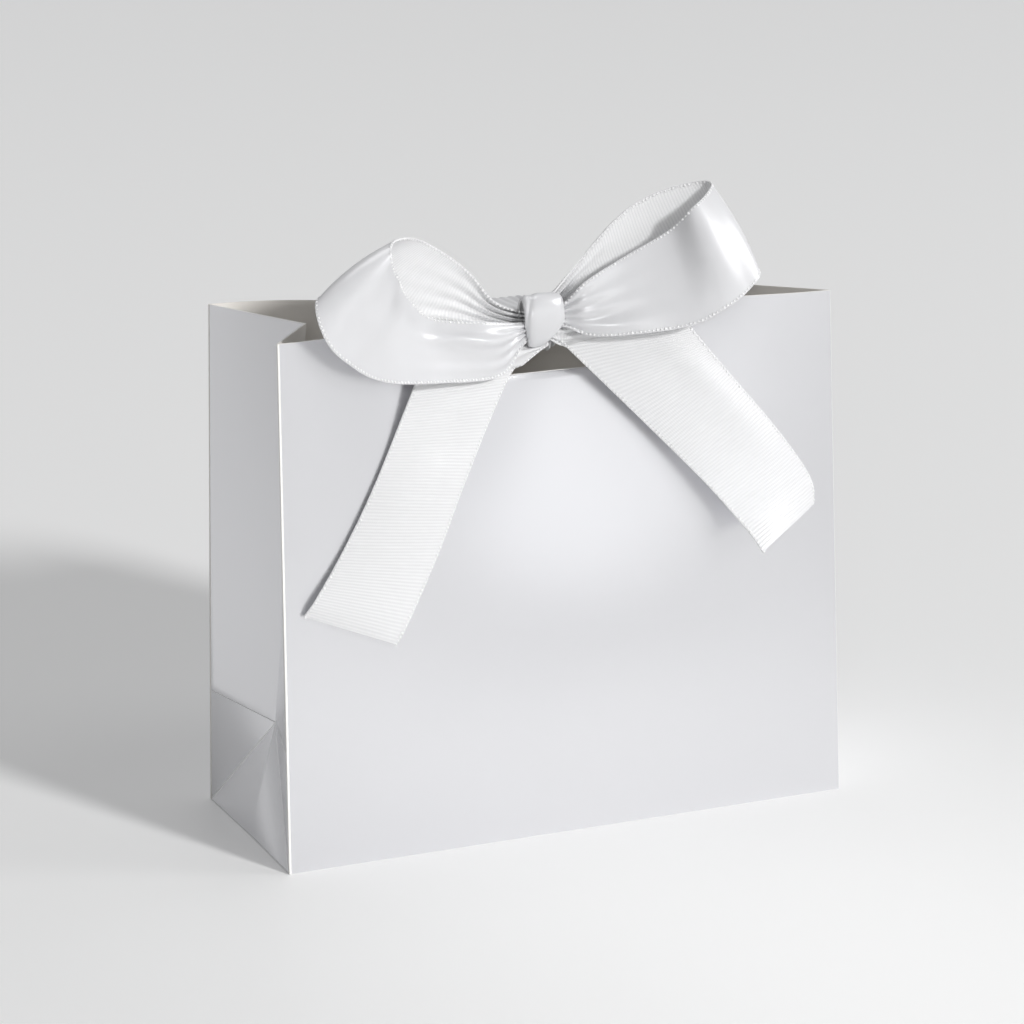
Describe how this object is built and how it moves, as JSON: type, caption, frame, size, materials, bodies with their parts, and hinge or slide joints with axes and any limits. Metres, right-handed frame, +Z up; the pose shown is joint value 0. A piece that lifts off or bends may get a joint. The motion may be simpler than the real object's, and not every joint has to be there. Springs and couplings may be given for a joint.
{
  "type": "paper favor bag",
  "caption": "Small folded card favor bag with gusseted sides, its mouth drawn in at the middle by a wide satin ribbon tied in a bow through handle slots.",
  "frame": {"origin": "centre of the base, on the face that the bag stands on", "axes": "+Z up, -Y out of the front panel that carries the bow, +X to the viewer's right"},
  "size_m": [0.114, 0.0564, 0.1194],
  "materials": {
    "card_outside": "pearl silver coating",
    "card_inside": "uncoated",
    "ribbon": "satin weave"
  },
  "bodies": {
    "base": {"base_front_flap": "card_outside", "base_rear_flap": "card_outside", "base_left_flap": "card_inside", "base_right_flap": "card_inside", "left_corner_front": "card_outside", "left_corner_rear": "card_outside", "right_corner_front": "card_outside", "right_corner_rear": "card_outside", "left_gable_front": "card_outside", "left_gable_rear": "card_outside", "right_gable_front": "card_outside", "right_gable_rear": "card_outside"},
    "front_panel": {"front_panel": "card_outside", "seam_flap": "card_inside", "ribbon_sling": "ribbon", "ribbon_knot": "ribbon", "left_tail_root": "ribbon", "right_tail_root": "ribbon"},
    "back_panel": {"back_panel": "card_outside"},
    "left_gusset_front": {"left_gusset_front": "card_outside"},
    "left_gusset_rear": {"left_gusset_rear": "card_outside"},
    "right_gusset_front": {"right_gusset_front": "card_outside"},
    "right_gusset_rear": {"right_gusset_rear": "card_outside"},
    "left_loop": {"left_loop": "ribbon"},
    "right_loop": {"right_loop": "ribbon"},
    "left_tail": {"left_tail": "ribbon"},
    "right_tail": {"right_tail": "ribbon"}
  },
  "joints": [
    {"name": "front_panel_fold", "type": "hinge", "parent": "base", "child": "front_panel", "pos_m": [0, -0.0228, 0.0002], "axis": [-1, 0, 0], "range_deg": [0, 1.6], "stiffness_Nm_per_rad": 0.3},
    {"name": "back_panel_fold", "type": "hinge", "parent": "base", "child": "back_panel", "pos_m": [0, 0.0228, 0.0002], "axis": [1, 0, 0], "range_deg": [0, 1.6], "stiffness_Nm_per_rad": 0.3},
    {"name": "left_gusset_front_fold", "type": "hinge", "parent": "front_panel", "child": "left_gusset_front", "pos_m": [-0.0558, -0.02085, 0.04947], "axis": [-0.0162, -0.0353, -0.9992], "range_deg": [0, 13]},
    {"name": "left_gusset_rear_fold", "type": "hinge", "parent": "back_panel", "child": "left_gusset_rear", "pos_m": [-0.0558, 0.02085, 0.04947], "axis": [0.0162, -0.0353, 0.9992], "range_deg": [0, 13]},
    {"name": "right_gusset_front_fold", "type": "hinge", "parent": "front_panel", "child": "right_gusset_front", "pos_m": [0.0558, -0.02085, 0.04947], "axis": [-0.0162, 0.0353, 0.9992], "range_deg": [0, 13]},
    {"name": "right_gusset_rear_fold", "type": "hinge", "parent": "back_panel", "child": "right_gusset_rear", "pos_m": [0.0558, 0.02085, 0.04947], "axis": [0.0162, 0.0353, -0.9992], "range_deg": [0, 13]},
    {"name": "left_loop_lift", "type": "hinge", "parent": "front_panel", "child": "left_loop", "pos_m": [-0.0052, -0.01137, 0.09956], "axis": [0, 1, 0], "range_deg": [0, 20]},
    {"name": "right_loop_lift", "type": "hinge", "parent": "front_panel", "child": "right_loop", "pos_m": [0.0032, -0.01137, 0.10196], "axis": [0, -1, 0], "range_deg": [0, 20]},
    {"name": "left_tail_lift", "type": "hinge", "parent": "front_panel", "child": "left_tail", "pos_m": [-0.0186, -0.01507, 0.08641], "axis": [-0.9647, -0.2615, 0.0316], "range_deg": [0, 60]},
    {"name": "right_tail_lift", "type": "hinge", "parent": "front_panel", "child": "right_tail", "pos_m": [0.0156, -0.01477, 0.09266], "axis": [-0.9691, 0.2172, -0.117], "range_deg": [0, 45]}
  ],
  "couplings": [
    {"joint": "back_panel_fold", "follows": "front_panel_fold", "ratio": 1},
    {"joint": "left_gusset_front_fold", "follows": "front_panel_fold", "ratio": 8},
    {"joint": "left_gusset_rear_fold", "follows": "front_panel_fold", "ratio": 8},
    {"joint": "right_gusset_front_fold", "follows": "front_panel_fold", "ratio": 8},
    {"joint": "right_gusset_rear_fold", "follows": "front_panel_fold", "ratio": 8}
  ]
}
